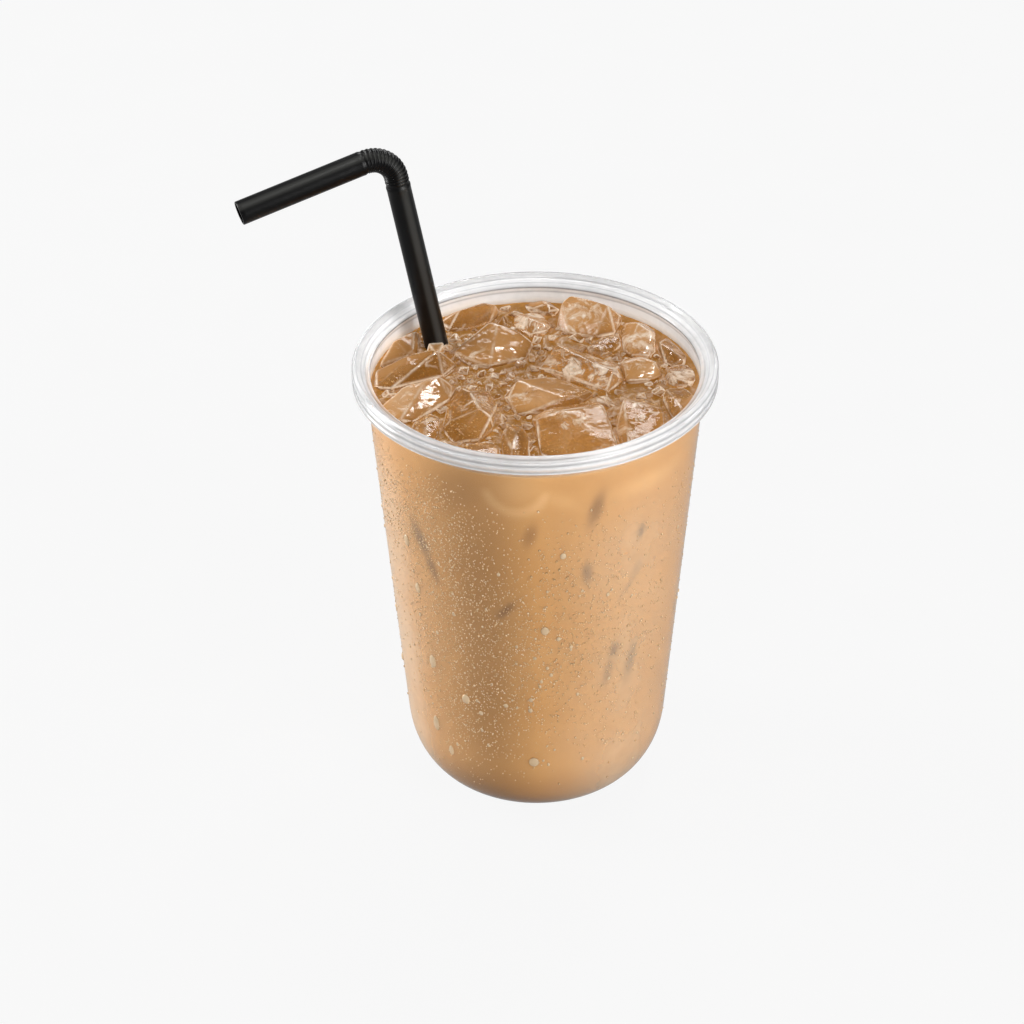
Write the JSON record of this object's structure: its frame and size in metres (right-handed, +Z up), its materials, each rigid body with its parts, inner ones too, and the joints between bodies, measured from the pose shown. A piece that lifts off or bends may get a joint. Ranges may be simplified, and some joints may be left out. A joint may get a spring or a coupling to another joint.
{
  "type": "iced milk tea",
  "caption": "Tall clear plastic cup with a rounded foot, full of milk tea with broken ice at the surface, and a black bendy straw that leans over the rim.",
  "frame": {"origin": "centre of the cup's flat base, on its underside", "axes": "+Z up along the cup's axis; the picture was taken from -Y; the straw leans towards -X"},
  "size_m": [0.1172, 0.09, 0.1687],
  "materials": {
    "cup_plastic": "clear, glossy",
    "milk_tea": "opaque milky tan liquid",
    "ice": "wet, clear with pale cores, tinted by the tea",
    "black_plastic": "smooth, glossy"
  },
  "bodies": {
    "root": {"cup": "cup_plastic", "drink": "milk_tea", "straw": "black_plastic", "ice_01": "ice", "ice_02": "ice", "ice_03": "ice", "ice_04": "ice", "ice_05": "ice", "ice_06": "ice", "ice_07": "ice", "ice_08": "ice", "ice_09": "ice", "ice_10": "ice", "ice_11": "ice", "ice_12": "ice", "ice_13": "ice", "ice_14": "ice", "ice_15": "ice", "ice_16": "ice", "ice_17": "ice", "ice_18": "ice", "ice_19": "ice", "ice_20": "ice", "ice_21": "ice", "ice_22": "ice"}
  },
  "joints": []
}
